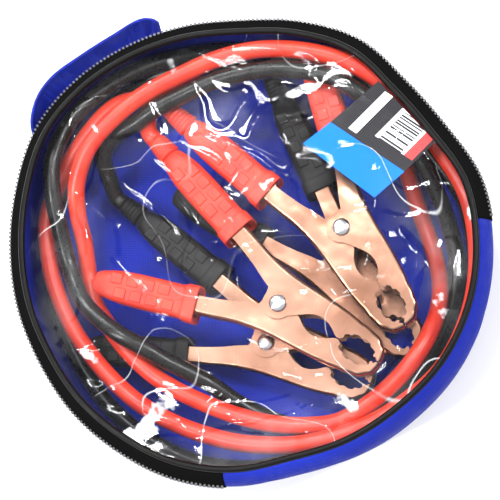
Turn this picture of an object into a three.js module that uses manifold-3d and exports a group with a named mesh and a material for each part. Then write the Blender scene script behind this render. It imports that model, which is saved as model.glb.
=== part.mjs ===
// A set of car jumper cables, packed in its round zip case, lying with the clear lid up.
// Millimetres, +Z up. The origin is on the floor under the middle of the case. +Y points to the
// carry loop, -Y to the fabric hinge of the lid.
import * as THREE from 'three';
import { mergeVertices } from 'three/addons/utils/BufferGeometryUtils.js';
import Module from 'manifold-3d';

const wasm = await Module();
wasm.setup();

// Case
const RIM_RADII = [
  105, 108, 106.5, 104.5, 106, 108, 110, 110.5, 107.5, 105.5, 104.5, 103.7,
  104.5, 105, 106, 105.5, 103.5, 105.5, 107.5, 110.5, 112, 112, 111, 106,
]; // outline of the case every 15 degrees, counter-clockwise from +X
const MEAN_RADIUS = 106.5;
const CASE_HEIGHT = 58;
const FABRIC = 1.5;
const FLOOR_BEND = 6; // radius where the floor turns up into the wall
const WALL_TOP = 44.5;
const TAPE_WIDTH = 4.2;
const CHAIN_WIDTH = 1.5; // one row of zip teeth, seen from the side
const CHAIN_DEPTH = 2.2;
const PIPING_RADIUS = 1.5;
const WINDOW_THICKNESS = 0.8;
const WINDOW_RISE = 0.6;
const HINGE_Y = -70; // line where the lid folds, between the two ends of the zip
const GAP = 0.3;
const FOLD_GAP = 1;
const RIM_STEPS = 72;

// Clamps, in their own frame: the rivet is at the origin and the jaws point to +X
const JAW_LENGTH = 53;
const HALF_WIDTH_OUTER = 18; // channel height of the half whose cheeks lie outside
const SHEET = 1.2;
const ARM_WIDTH = 8;
const MOUTH_BACK = 32; // rivet to the mouth of a grip, along the jaws' axis
const MOUTH_OUT = 19; // and across it
const SPLAY = 17; // degrees between an arm and the jaws' axis
const ARM_IN_GRIP = 34;
const GRIP_LENGTH = 50;
const GRIP_WIDTH = 18;
const GRIP_WALL = 1.6;
const LOBE_RADIUS = 7;
const RIVET_RADIUS = 2.2;
const RIVET_HEAD_RADIUS = 3.9;
const RIVET_HEAD_HEIGHT = 1.8;
const SPRING_WIRE = 0.9;
const SPRING_RADIUS = 4.2;
const RELIEF_LENGTH = 10;
const LAYER_CLEARANCE = 0.4;

// Leads
const CABLE_DIAMETER = 8;
const CABLE_SIDES = 10;
const CABLE_STEP = 15;

// Card under the lid, and carry loop
const CARD_THICKNESS = 0.4;
const LOOP_THICKNESS = 1.6;

const gripHeight = HALF_WIDTH_OUTER + 2 * GAP + 2 * GRIP_WALL;
const lowerLayer = FABRIC + LAYER_CLEARANCE + gripHeight / 2;
const upperLayer = lowerLayer + gripHeight + LAYER_CLEARANCE + GAP;
const windowBottom = CASE_HEIGHT - PIPING_RADIUS - WINDOW_THICKNESS / 2 + 0.2;

const CLAMPS = {
  a: { x: -5.4, y: -29.7, z: upperLayer, axis: -75.5, cable: 1 },
  b: { x: 38.6, y: -25.7, z: upperLayer, axis: -102.5, cable: -1 },
  c: { x: -22.2, y: -34.9, z: lowerLayer, axis: -66.5, cable: 1 },
  d: { x: 26.1, y: -33.7, z: lowerLayer, axis: -93, cable: 1 },
};

const RED = 0xe2452f;
const BLACK = 0x353331;

const rad = THREE.MathUtils.degToRad;
const v2 = (x, y) => new THREE.Vector2(x, y);
const v3 = (x, y, z) => new THREE.Vector3(x, y, z);

const materials = {
  nylon: new THREE.MeshStandardMaterial({ color: 0x2436a8, roughness: 0.85 }),
  webbing: new THREE.MeshStandardMaterial({ color: 0x0a14c8, roughness: 0.8 }),
  zip: new THREE.MeshStandardMaterial({ color: 0x1c1b1a, roughness: 0.7 }),
  zipTeeth: new THREE.MeshStandardMaterial({ color: 0x2c2b2a, roughness: 0.4 }),
  piping: new THREE.MeshStandardMaterial({ color: 0x2a2927, roughness: 0.45 }),
  vinyl: new THREE.MeshStandardMaterial({
    color: 0xe8ecf4, roughness: 0.08, transparent: true, opacity: 0.25,
  }),
  card: new THREE.MeshStandardMaterial({ color: 0x3c3a3e, roughness: 0.4 }),
  copper: new THREE.MeshStandardMaterial({ color: 0xe0b08a, roughness: 0.3, metalness: 1 }),
  steel: new THREE.MeshStandardMaterial({ color: 0xc8ccd0, roughness: 0.25, metalness: 1 }),
  redGrip: new THREE.MeshStandardMaterial({ color: RED, roughness: 0.5 }),
  blackGrip: new THREE.MeshStandardMaterial({ color: BLACK, roughness: 0.5 }),
  redCable: new THREE.MeshStandardMaterial({ color: RED, roughness: 0.4 }),
  blackCable: new THREE.MeshStandardMaterial({ color: BLACK, roughness: 0.4 }),
};

const part = new THREE.Group();

function add(name, geometry, material, parent = part) {
  const mesh = new THREE.Mesh(geometry, material);
  mesh.name = name;
  parent.add(mesh);
  return mesh;
}

function toSolid(geometry) {
  const bare = geometry.index ? geometry.toNonIndexed() : geometry.clone();
  bare.deleteAttribute('normal');
  bare.deleteAttribute('uv');
  const merged = mergeVertices(bare, 1e-4);
  return new wasm.Manifold(new wasm.Mesh({
    numProp: 3,
    vertProperties: new Float32Array(merged.attributes.position.array),
    triVerts: new Uint32Array(merged.index.array),
  }));
}

function toGeometry(solid) {
  const mesh = solid.getMesh();
  const geometry = new THREE.BufferGeometry();
  geometry.setAttribute('position', new THREE.BufferAttribute(new Float32Array(mesh.vertProperties), 3));
  geometry.setIndex(new THREE.BufferAttribute(new Uint32Array(mesh.triVerts), 1));
  geometry.computeVertexNormals();
  return geometry;
}

function cut(geometry, ...tools) {
  return toGeometry(tools.reduce((solid, tool) => solid.subtract(toSolid(tool)), toSolid(geometry)));
}

function common(geometry, tool) {
  return toGeometry(toSolid(geometry).intersect(toSolid(tool)));
}

function prism(points, bottom, top) {
  const geometry = new THREE.ExtrudeGeometry(new THREE.Shape(points), {
    depth: top - bottom, bevelEnabled: false,
  });
  return geometry.translate(0, 0, bottom);
}

function block(x0, x1, y0, y1, z0, z1) {
  return new THREE.BoxGeometry(x1 - x0, y1 - y0, z1 - z0)
    .translate((x0 + x1) / 2, (y0 + y1) / 2, (z0 + z1) / 2);
}

const rimCurve = new THREE.CatmullRomCurve3(
  RIM_RADII.map((radius, i) => v3(i * 360 / RIM_RADII.length, radius, 0)).concat(
    [v3(360, RIM_RADII[0], 0)],
  ),
);

function rimRadius(degrees) {
  const turn = ((degrees % 360) + 360) % 360;
  return rimCurve.getPoint(turn / 360).y;
}

// A ring or disc turned from a profile of [distance inside the rim, height] points, then pushed
// out of round to the case's outline.
function turned(profile) {
  const points = profile.map(([inset, z]) => v2(Math.max(MEAN_RADIUS - inset, 0), z));
  const geometry = new THREE.LatheGeometry(points, RIM_STEPS);
  geometry.rotateX(Math.PI / 2);
  const position = geometry.attributes.position;
  for (let i = 0; i < position.count; i += 1) {
    const x = position.getX(i);
    const y = position.getY(i);
    const share = rimRadius(THREE.MathUtils.radToDeg(Math.atan2(y, x))) / MEAN_RADIUS;
    position.setXY(i, x * share, y * share);
  }
  return geometry;
}

const everywhere = MEAN_RADIUS;
const flapSide = block(-200, 200, HINGE_Y + FOLD_GAP / 2, 200, -10, CASE_HEIGHT + 50);
const hingeSide = block(-200, 200, -200, HINGE_Y - FOLD_GAP / 2, -10, CASE_HEIGHT + 50);

function arc(cx, cz, radius, from, to, steps) {
  return Array.from({ length: steps + 1 }, (_, i) => {
    const angle = rad(from + (to - from) * i / steps);
    return [cx - radius * Math.cos(angle), cz + radius * Math.sin(angle)];
  });
}

const tray = turned([
  [everywhere, 0],
  ...arc(FLOOR_BEND + 0.8, FLOOR_BEND, FLOOR_BEND, -90, 0, 4),
  [0, WALL_TOP * 0.45],
  [0.4, WALL_TOP],
  [0.4 + FABRIC, WALL_TOP],
  [FABRIC, WALL_TOP * 0.45],
  ...arc(FLOOR_BEND + 0.8, FLOOR_BEND, FLOOR_BEND - FABRIC, 0, -90, 4),
  [everywhere, FABRIC],
]);
add('case_tray', tray, materials.nylon);

const chainMiddle = WALL_TOP + GAP + TAPE_WIDTH * 0.25 + CHAIN_WIDTH;
const lowerTape = turned([
  [0, WALL_TOP + GAP],
  [-0.4, chainMiddle - CHAIN_WIDTH - GAP],
  [CHAIN_DEPTH, chainMiddle - CHAIN_WIDTH - GAP],
  [CHAIN_DEPTH, WALL_TOP + GAP],
  [0, WALL_TOP + GAP],
]);
add('zip_tape_lower', common(lowerTape, flapSide), materials.zip);

function chain(bottom) {
  return turned([
    [-0.4, bottom],
    [-0.4, bottom + CHAIN_WIDTH - GAP],
    [CHAIN_DEPTH - 0.4, bottom + CHAIN_WIDTH - GAP],
    [CHAIN_DEPTH - 0.4, bottom],
    [-0.4, bottom],
  ]);
}

add('zip_teeth_lower', common(chain(chainMiddle - CHAIN_WIDTH), flapSide), materials.zipTeeth);
add('zip_teeth_upper', common(chain(chainMiddle), flapSide), materials.zipTeeth);

const pipingInset = 7.5;
const pipingZ = CASE_HEIGHT - PIPING_RADIUS;
const tapeFoot = chainMiddle + CHAIN_WIDTH;
const tapeHead = pipingZ - PIPING_RADIUS * 0.5;
const bandProfile = (bottom) => [
  [-0.2, bottom],
  [pipingInset - PIPING_RADIUS - GAP - 0.8, tapeHead],
  [pipingInset - PIPING_RADIUS - GAP + 0.2, tapeHead - 0.7],
  [1.1, bottom],
  [-0.2, bottom],
];
add('zip_tape_upper', common(turned(bandProfile(tapeFoot)), flapSide), materials.zip);
const hingeBand = turned(bandProfile(WALL_TOP + GAP));
add('hinge_band', common(hingeBand, hingeSide), materials.nylon);

const piping = turned([
  ...arc(pipingInset, pipingZ, PIPING_RADIUS, 0, 360, 8),
]);
add('piping_lid', common(piping, flapSide), materials.piping);
add('piping_hinge', common(piping, hingeSide), materials.piping);

const windowEdge = pipingInset + PIPING_RADIUS + GAP;
const pane = turned([
  [everywhere, windowBottom + WINDOW_RISE],
  [windowEdge + 8, windowBottom + WINDOW_RISE * 0.7],
  [windowEdge, windowBottom],
  [windowEdge, windowBottom + WINDOW_THICKNESS],
  [windowEdge + 8, windowBottom + WINDOW_RISE * 0.7 + WINDOW_THICKNESS],
  [everywhere, windowBottom + WINDOW_RISE + WINDOW_THICKNESS],
]);
add('window_lid', common(pane, flapSide), materials.vinyl);
add('window_hinge', common(pane, hingeSide), materials.vinyl);

// Card, one corner of it under the lid's right side
const card = prism(
  [v2(99.1 - 3.5, 6.8), v2(68, 9), v2(52.4, 11), v2(57.2, -28.9), v2(75, -30.2), v2(93, -30.5)],
  windowBottom - GAP - CARD_THICKNESS,
  windowBottom - GAP,
);
add('insert_card', card, materials.card);

// Carry loop: a strap that stands off the wall, with both ends against it
const LOOP_STATIONS = [
  [-31, 105.8, 24, -31, 107, 43],
  [-25, 110, 24.5, -27, 112.5, 44.5],
  [-15, 113, 25, -18, 118.3, 45.6],
  [-4, 114, 25, -6, 120.5, 46],
  [10, 113.6, 25, 12, 117.5, 46],
  [25, 110.5, 25, 28, 113.8, 45.6],
  [36, 107, 25, 42, 109.8, 45.5],
  [41, 103.4, 24.5, 46, 106, 44.5],
  [43.5, 101.6, 24.5, 47, 103, 43.5],
];

function strap(stations, thickness) {
  const shape = stations.map(([x0, y0, z0, x1, y1, z1], i) => {
    const before = stations[Math.max(i - 1, 0)];
    const after = stations[Math.min(i + 1, stations.length - 1)];
    const along = v3(after[0] - before[0], after[1] - before[1], 0).normalize();
    const up = v3(x1 - x0, y1 - y0, z1 - z0).normalize();
    const out = along.clone().cross(up).normalize().multiplyScalar(thickness);
    const low = v3(x0, y0, z0);
    const high = v3(x1, y1, z1);
    return [low, high, high.clone().sub(out), low.clone().sub(out)];
  });
  const vertices = shape.flat().flatMap((p) => p.toArray());
  const index = [];
  for (let i = 0; i < shape.length - 1; i += 1) {
    for (let k = 0; k < 4; k += 1) {
      const a = i * 4 + k;
      const b = i * 4 + (k + 1) % 4;
      index.push(a, a + 4, b, b, a + 4, b + 4);
    }
  }
  const last = (shape.length - 1) * 4;
  index.push(0, 1, 2, 0, 2, 3, last, last + 2, last + 1, last, last + 3, last + 2);
  const geometry = new THREE.BufferGeometry();
  geometry.setAttribute('position', new THREE.Float32BufferAttribute(vertices, 3));
  geometry.setIndex(index);
  return geometry;
}

add('carry_loop', strap(LOOP_STATIONS, LOOP_THICKNESS), materials.webbing);

const innerHeight = HALF_WIDTH_OUTER - 2 * SHEET - 2 * GAP;
const armDirection = v2(-Math.cos(rad(SPLAY)), Math.sin(rad(SPLAY)));
const armAcross = v2(Math.sin(rad(SPLAY)), Math.cos(rad(SPLAY)));
const mouth = v2(-MOUTH_BACK, MOUTH_OUT);
const along = (from, distance, aside) => from.clone()
  .addScaledVector(armDirection, distance).addScaledVector(armAcross, aside);

// Outline of one half's cheek, on the +Y side of the jaws' axis
function cheekOutline() {
  const half = GAP / 2;
  const lobe = Array.from({ length: 9 }, (_, i) => {
    const angle = rad(155 + i * 23);
    return v2(LOBE_RADIUS * Math.cos(angle), LOBE_RADIUS * Math.sin(angle));
  });
  const teeth = [];
  for (let x = JAW_LENGTH - 20; x < JAW_LENGTH - 5; x += 3) {
    teeth.push(v2(x, half), v2(x + 1.5, half + 1.4));
  }
  return {
    outer: [
      along(mouth, ARM_IN_GRIP, ARM_WIDTH / 2), along(mouth, 0, ARM_WIDTH / 2),
      v2(-14, 17), v2(8, 13.9), v2(24, 13.5), v2(JAW_LENGTH - 18, 12.2), v2(JAW_LENGTH - 7, 9.6),
      v2(JAW_LENGTH - 2, 6), v2(JAW_LENGTH, 2.4), v2(JAW_LENGTH, half),
    ],
    inner: [
      v2(JAW_LENGTH - 4, half), ...teeth.reverse(), v2(JAW_LENGTH - 23.5, half),
      v2(JAW_LENGTH - 27, 3.6), v2(JAW_LENGTH - 33, 5.6), v2(14, 4.2), v2(10.2, half),
      ...lobe.reverse(),
      v2(-12.5, 6.4), v2(-20, 10.2), along(mouth, 0, -ARM_WIDTH / 2),
      along(mouth, ARM_IN_GRIP, -ARM_WIDTH / 2),
    ],
  };
}

function mirrored(points, side) {
  return side > 0 ? points : points.map((p) => v2(p.x, -p.y));
}

function clampHalf(side) {
  const height = side > 0 ? HALF_WIDTH_OUTER : innerHeight;
  const { outer, inner } = cheekOutline();
  const body = prism(mirrored([...outer, ...inner], side), -height / 2, height / 2);
  const webInside = outer.map((p, i) => {
    const before = outer[Math.max(i - 1, 0)];
    const after = outer[Math.min(i + 1, outer.length - 1)];
    const step = after.clone().sub(before).normalize();
    return v2(p.x + step.y * SHEET, p.y - step.x * SHEET);
  });
  webInside[0].addScaledVector(armDirection, 5);
  const last = webInside.length - 1;
  webInside[last] = v2(JAW_LENGTH - SHEET, -20);
  webInside[last - 1] = v2(JAW_LENGTH - SHEET, 2);
  const hollow = prism(
    mirrored([...webInside, v2(-MOUTH_BACK - ARM_IN_GRIP, -20)], side),
    -height / 2 + SHEET, height / 2 - SHEET,
  );
  const hole = new THREE.CylinderGeometry(
    RIVET_RADIUS + GAP, RIVET_RADIUS + GAP, height + 2, 16,
  ).rotateX(Math.PI / 2);
  return cut(body, hollow, hole);
}

function grip(side) {
  const inside = (side > 0 ? HALF_WIDTH_OUTER : innerHeight) + 2 * GAP;
  const height = inside + 2 * GRIP_WALL;
  const w = GRIP_WIDTH / 2;
  const outline = [
    [0, -w], [0, w], [5, w], [7, w - 0.8], [GRIP_LENGTH - 8, w - 1],
    [GRIP_LENGTH - 3, w - 3.4], [GRIP_LENGTH, w - 6],
    [GRIP_LENGTH, 6 - w], [GRIP_LENGTH - 3, 3.4 - w], [GRIP_LENGTH - 8, 1 - w],
    [7, 0.8 - w], [5, -w],
  ].map(([distance, aside]) => along(mouth, distance, aside));
  const body = new THREE.ExtrudeGeometry(new THREE.Shape(mirrored(outline, side)), {
    depth: height - 3, bevelEnabled: true, bevelThickness: 1.5, bevelSize: 1.2,
    bevelOffset: -1.2, bevelSegments: 2,
  }).translate(0, 0, -height / 2 + 1.5);
  const pocketWidth = ARM_WIDTH / 2 + GAP;
  const pocket = prism(mirrored([
    along(mouth, -3, -pocketWidth), along(mouth, -3, pocketWidth),
    along(mouth, ARM_IN_GRIP + GAP, pocketWidth), along(mouth, ARM_IN_GRIP + GAP, -pocketWidth),
  ], side), -inside / 2, inside / 2);
  return cut(body, pocket);
}

function rivet() {
  const under = HALF_WIDTH_OUTER / 2 + GAP;
  const head = (s) => [
    v2(RIVET_HEAD_RADIUS, s * under),
    v2(RIVET_HEAD_RADIUS * 0.8, s * (under + RIVET_HEAD_HEIGHT * 0.6)),
    v2(RIVET_HEAD_RADIUS * 0.4, s * (under + RIVET_HEAD_HEIGHT * 0.95)),
    v2(0, s * (under + RIVET_HEAD_HEIGHT)),
  ];
  return new THREE.LatheGeometry([
    ...head(-1).reverse(), v2(RIVET_RADIUS, -under), v2(RIVET_RADIUS, under), ...head(1),
  ], 20).rotateX(Math.PI / 2);
}

function spring() {
  const half = innerHeight / 2 - SHEET - GAP;
  return new THREE.LatheGeometry([
    v2(SPRING_RADIUS - SPRING_WIRE, -half), v2(SPRING_RADIUS, -half), v2(SPRING_RADIUS, half),
    v2(SPRING_RADIUS - SPRING_WIRE, half), v2(SPRING_RADIUS - SPRING_WIRE, -half),
  ], 16).rotateX(Math.PI / 2);
}

function relief(side) {
  const wide = CABLE_DIAMETER / 2 + 1.6;
  const narrow = CABLE_DIAMETER / 2 + 0.4;
  const geometry = new THREE.CylinderGeometry(narrow, wide, RELIEF_LENGTH, 16);
  const turn = side > 0 ? Math.PI - rad(SPLAY) : Math.PI + rad(SPLAY);
  const start = along(mouth, GRIP_LENGTH + GAP, 0);
  geometry.rotateZ(-Math.PI / 2).translate(RELIEF_LENGTH / 2, 0, 0).rotateZ(turn);
  return geometry.translate(start.x, side * start.y, 0);
}

for (const [letter, clamp] of Object.entries(CLAMPS)) {
  const group = new THREE.Group();
  group.position.set(clamp.x, clamp.y, clamp.z);
  group.rotation.z = rad(clamp.axis);
  part.add(group);
  const gripMaterial = letter < 'c' ? materials.redGrip : materials.blackGrip;
  for (const side of [1, -1]) {
    const what = side === clamp.cable ? 'fixed' : 'moving';
    add(`clamp_${letter}_jaw_${what}`, clampHalf(side), materials.copper, group);
    add(`clamp_${letter}_grip_${what}`, grip(side), gripMaterial, group);
  }
  add(`clamp_${letter}_rivet`, rivet(), materials.steel, group);
  add(`clamp_${letter}_spring`, spring(), materials.steel, group);
  add(`clamp_${letter}_relief`, relief(clamp.cable), gripMaterial, group);
}

function cableEnd(clamp) {
  const local = along(mouth, GRIP_LENGTH + RELIEF_LENGTH + 2 * GAP, 0);
  const heading = armDirection.clone();
  if (clamp.cable < 0) {
    local.y *= -1;
    heading.y *= -1;
  }
  const centre = v2(0, 0);
  local.rotateAround(centre, rad(clamp.axis));
  heading.rotateAround(centre, rad(clamp.axis));
  const start = v3(clamp.x + local.x, clamp.y + local.y, clamp.z);
  return [start, start.clone().add(v3(heading.x, heading.y, 0).multiplyScalar(5))];
}

// [angle about the case's middle in degrees, radius, height] of points along the coils
const polar = ([angle, radius, z]) => v3(
  radius * Math.cos(rad(angle)), radius * Math.sin(rad(angle)), z,
);

const RED_START = [[14, 80, 28], [24, 84, 18.5], [38, 88, 9.5]].map((p) => v3(...p));
const RED_COIL = [
  [50, 98, 6.4], [35, 98.5, 6.2], [20, 99.5, 6.2], [10, 97, 6.2], [0, 92, 6.2], [-10, 86.5, 6.2],
  [-20, 83, 6.2], [-32, 82.5, 6.2], [-44, 86, 8], [-52, 89, 12.5], [-60, 91, 19.5],
  [-68, 91.5, 27.5], [-76, 91, 29.8], [-85, 90, 30], [-95, 89, 29.8], [-105, 88, 29.5],
  [-114, 84, 29], [-125, 79, 29], [-138, 74, 29], [-150, 71, 29], [-161, 70, 29.5],
  [-173, 70, 30], [-187, 70.5, 30.2], [-199, 72.3, 28], [-208, 75, 24], [-218, 76, 22.2],
  [-229, 77, 27], [-238, 80.5, 34], [-247, 84, 40], [-258, 85.8, 44.5], [-270, 85.2, 46.5],
  [-283, 84.4, 48], [-295, 84.4, 49], [-308, 87, 50.5], [-320, 90.3, 51.2], [-333, 93.4, 51.2],
  [-343, 95.8, 50.9], [-353, 97.3, 48.6], [-364, 98.7, 42], [-376, 99.7, 34], [-390, 104, 29],
  [-405, 105.3, 27], [-420, 105.3, 27], [-435, 103.7, 28.5], [-448, 99.5, 32], [-460, 96, 35],
  [-477, 91, 35], [-493, 87, 33.5], [-504, 85, 32], [-516, 84, 31], [-528, 84, 30.5],
  [-540, 84.3, 30], [-552, 85.5, 30], [-562, 87.5, 30], [-573, 90, 30], [-582, 92.5, 30],
  [-595, 96, 30], [-608, 95.5, 30], [-618, 94.5, 32.5],
].map(polar);
const RED_END = [[0, 93.4, 35.5], [9.5, 91, 36], [16.8, 85, 36]].map((p) => v3(...p));

const BLACK_START = [[-20.5, 75, 20], [-15, 81.5, 28.5], [-5, 82.3, 35.5], [6, 77.8, 41]].map(
  (p) => v3(...p),
);
const BLACK_COIL = [
  [77, 76.2, 45.3], [67.5, 75.7, 46.6], [54, 77.3, 49], [40, 80.3, 51], [28, 83.8, 51.3],
  [16, 86.7, 51.2], [7, 87.3, 50.4], [-3, 88.6, 44], [-14, 90, 33], [-25, 91.5, 25], [-35, 93.5, 17],
  [-45, 96, 11], [-56, 96.4, 8], [-67, 95.7, 7], [-79, 94, 7], [-90, 92, 6.6], [-102, 90.3, 6.8],
  [-114, 85, 10], [-125, 77.5, 14], [-138, 68.5, 19], [-150, 62, 25.5], [-162, 60.3, 30.5],
  [-172, 61.3, 34], [-181, 63, 37.5], [-190, 67.3, 39.3], [-200, 73, 37], [-210, 79, 33],
  [-222, 83, 32], [-233, 87.3, 36.5], [-242, 93, 41], [-250, 98.5, 42.5], [-258, 102, 40],
  [-267, 103, 38.5], [-276, 102, 36], [-287, 100.5, 33], [-298, 99, 29], [-308, 98.5, 25],
  [-320, 97.6, 20], [-335, 99.5, 16], [-350, 99.7, 14.8], [-360, 97.6, 12.5], [-368, 97.8, 8],
  [-376, 98.8, 6.3], [-390, 103.6, 6.2], [-405, 104.6, 6.2], [-420, 104.6, 6.2], [-435, 103.1, 6.2],
  [-450, 100.2, 6.2], [-465, 98, 6.2], [-480, 96.3, 6.2], [-495, 98, 6.2], [-510, 98.7, 6.2],
  [-525, 97.7, 6.2], [-540, 97.2, 6.2], [-555, 96.4, 6.2], [-570, 97.1, 6.2], [-585, 98.2, 6.2],
  [-600, 100.2, 6.2], [-615, 102.7, 7], [-630, 102.3, 11], [-645, 100.5, 17.4], [-657, 95.5, 21.3],
  [-667, 92, 18],
].map(polar);
const BLACK_END = [[63, 68.5, 14], [67.8, 61.5, 13.5]].map((p) => v3(...p));

function cable(points) {
  const path = new THREE.CatmullRomCurve3(points, false, 'centripetal');
  const r = CABLE_DIAMETER / 2;
  const section = new THREE.Shape(Array.from({ length: CABLE_SIDES }, (_, i) => {
    const angle = 2 * Math.PI * i / CABLE_SIDES;
    return v2(r * Math.cos(angle), r * Math.sin(angle));
  }));
  return new THREE.ExtrudeGeometry(section, {
    steps: Math.round(path.getLength() / CABLE_STEP), extrudePath: path,
  });
}

function lead(from, points, to) {
  return cable([...cableEnd(from), ...points, ...cableEnd(to).reverse()]);
}

add(
  'lead_red',
  lead(CLAMPS.a, [...RED_START, ...RED_COIL, ...RED_END], CLAMPS.b),
  materials.redCable,
);
add(
  'lead_black',
  lead(CLAMPS.c, [...BLACK_START, ...BLACK_COIL, ...BLACK_END], CLAMPS.d),
  materials.blackCable,
);

export default part;
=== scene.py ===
import bmesh
import bpy
import math
from mathutils import Matrix, Vector, noise


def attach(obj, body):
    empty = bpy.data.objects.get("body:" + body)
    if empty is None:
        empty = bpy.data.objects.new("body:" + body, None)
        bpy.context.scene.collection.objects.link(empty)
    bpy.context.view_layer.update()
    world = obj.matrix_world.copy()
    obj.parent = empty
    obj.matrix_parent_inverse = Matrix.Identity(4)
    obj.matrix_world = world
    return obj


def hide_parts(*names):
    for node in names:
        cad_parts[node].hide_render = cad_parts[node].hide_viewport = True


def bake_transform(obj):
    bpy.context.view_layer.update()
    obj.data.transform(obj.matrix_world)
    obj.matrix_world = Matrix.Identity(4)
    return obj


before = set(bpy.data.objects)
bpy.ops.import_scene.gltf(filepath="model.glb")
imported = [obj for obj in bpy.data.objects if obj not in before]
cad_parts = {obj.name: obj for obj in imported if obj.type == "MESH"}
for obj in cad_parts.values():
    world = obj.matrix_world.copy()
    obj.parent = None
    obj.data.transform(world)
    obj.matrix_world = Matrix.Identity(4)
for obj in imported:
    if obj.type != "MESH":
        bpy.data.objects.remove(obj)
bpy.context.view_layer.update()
print("frame loaded")

mm = 0.001


# Camera, as the photo sees the case: from the hinge side, nearly overhead, rolled to the left
shot = {"target": (0.00257, -0.00365, 0.044), "distance": 0.6236, "elevation": 78, "roll": -45, "lens": 100}


def placeCamera(shot):
    data = bpy.data.cameras.new("camera")
    data.lens = shot["lens"]
    data.sensor_width = 36
    camera = bpy.data.objects.new("camera", data)
    bpy.context.collection.objects.link(camera)
    tilt = math.radians(shot["elevation"])
    back = Vector((0, -math.cos(tilt), math.sin(tilt)))
    place = Matrix.Translation(Vector(shot["target"]) + back * shot["distance"])
    turn = Matrix.Rotation(math.pi / 2 - tilt, 4, "X")
    camera.matrix_world = place @ turn @ Matrix.Rotation(math.radians(shot["roll"]), 4, "Z")
    bpy.context.scene.camera = camera


placeCamera(shot)
print("camera placed")


cable = {"sides": 18, "diameter": 8 * mm, "step": 2.5 * mm}
clampSize = {
    "mouthBack": 32, "mouthOut": 19, "splay": 17, "gripLength": 50, "reliefLength": 10, "gap": 0.3,
    "outerHeight": 18, "innerHeight": 15, "sheet": 1.2,
}
clamps = {
    "a": {"at": (-5.4, -29.7, 35.3), "axis": -75.5, "cable": 1},
    "b": {"at": (38.6, -25.7, 35.3), "axis": -102.5, "cable": -1},
    "c": {"at": (-22.2, -34.9, 12.8), "axis": -66.5, "cable": 1},
    "d": {"at": (26.1, -33.7, 12.8), "axis": -93, "cable": 1},
}

# The leads' routes: coils as [degrees, radius in mm, height in mm], starts and ends as points in mm
redStart = [[14, 80, 28], [24, 84, 18.5], [38, 88, 9.5]]
redCoil = [
    [50, 98, 6.4], [35, 98.5, 6.2], [20, 99.5, 6.2], [10, 97, 6.2], [0, 92, 6.2], [-10, 86.5, 6.2],
    [-20, 83, 6.2], [-32, 82.5, 6.2], [-44, 86, 8], [-52, 89, 12.5], [-60, 91, 19.5],
    [-68, 91.5, 27.5], [-76, 91, 29.8], [-85, 90, 30], [-95, 89, 29.8], [-105, 88, 29.5],
    [-114, 84, 29], [-125, 79, 29], [-138, 74, 29], [-150, 71, 29], [-161, 70, 29.5],
    [-173, 70, 30], [-187, 70.5, 30.2], [-199, 72.3, 28], [-208, 75, 24], [-218, 76, 22.2],
    [-229, 77, 27], [-238, 80.5, 34], [-247, 84, 40], [-258, 85.8, 44.5], [-270, 85.2, 46.5],
    [-283, 84.4, 48], [-295, 84.4, 49], [-308, 87, 50.5], [-320, 90.3, 51.2], [-333, 93.4, 51.2],
    [-343, 95.8, 50.9], [-353, 97.3, 48.6], [-364, 98.7, 42], [-376, 99.7, 34], [-390, 104, 29],
    [-405, 105.3, 27], [-420, 105.3, 27], [-435, 103.7, 28.5], [-448, 99.5, 32], [-460, 96, 35],
    [-477, 91, 35], [-493, 87, 33.5], [-504, 85, 32], [-516, 84, 31], [-528, 84, 30.5],
    [-540, 84.3, 30], [-552, 85.5, 30], [-562, 87.5, 30], [-573, 90, 30], [-582, 92.5, 30],
    [-595, 96, 30], [-608, 95.5, 30], [-618, 94.5, 32.5],
]
redEnd = [[0, 93.4, 35.5], [9.5, 91, 36], [16.8, 85, 36]]
blackStart = [[-20.5, 75, 20], [-15, 81.5, 28.5], [-5, 82.3, 35.5], [6, 77.8, 41]]
blackCoil = [
    [77, 76.2, 45.3], [67.5, 75.7, 46.6], [54, 77.3, 49], [40, 80.3, 51], [28, 83.8, 51.3],
    [16, 86.7, 51.2], [7, 87.3, 50.4], [-3, 88.6, 44], [-14, 90, 33], [-25, 91.5, 25], [-35, 93.5, 17],
    [-45, 96, 11], [-56, 96.4, 8], [-67, 95.7, 7], [-79, 94, 7], [-90, 92, 6.6], [-102, 90.3, 6.8],
    [-114, 85, 10], [-125, 77.5, 14], [-138, 68.5, 19], [-150, 62, 25.5], [-162, 60.3, 30.5],
    [-172, 61.3, 34], [-181, 63, 37.5], [-190, 67.3, 39.3], [-200, 73, 37], [-210, 79, 33],
    [-222, 83, 32], [-233, 87.3, 36.5], [-242, 93, 41], [-250, 98.5, 42.5], [-258, 102, 40],
    [-267, 103, 38.5], [-276, 102, 36], [-287, 100.5, 33], [-298, 99, 29], [-308, 98.5, 25],
    [-320, 97.6, 20], [-335, 99.5, 16], [-350, 99.7, 14.8], [-360, 97.6, 12.5], [-368, 97.8, 8],
    [-376, 98.8, 6.3], [-390, 103.6, 6.2], [-405, 104.6, 6.2], [-420, 104.6, 6.2], [-435, 103.1, 6.2],
    [-450, 100.2, 6.2], [-465, 98, 6.2], [-480, 96.3, 6.2], [-495, 98, 6.2], [-510, 98.7, 6.2],
    [-525, 97.7, 6.2], [-540, 97.2, 6.2], [-555, 96.4, 6.2], [-570, 97.1, 6.2], [-585, 98.2, 6.2],
    [-600, 100.2, 6.2], [-615, 102.7, 7], [-630, 102.3, 11], [-645, 100.5, 17.4], [-657, 95.5, 21.3],
    [-667, 92, 18],
]
blackEnd = [[63, 68.5, 14], [67.8, 61.5, 13.5]]


def onCircle(degrees, radius, z):
    angle = math.radians(degrees)
    return Vector((radius * math.cos(angle), radius * math.sin(angle), z)) * mm


def polar(points):
    return [onCircle(*point) for point in points]


def free(points):
    return [Vector(p) * mm for p in points]


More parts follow.
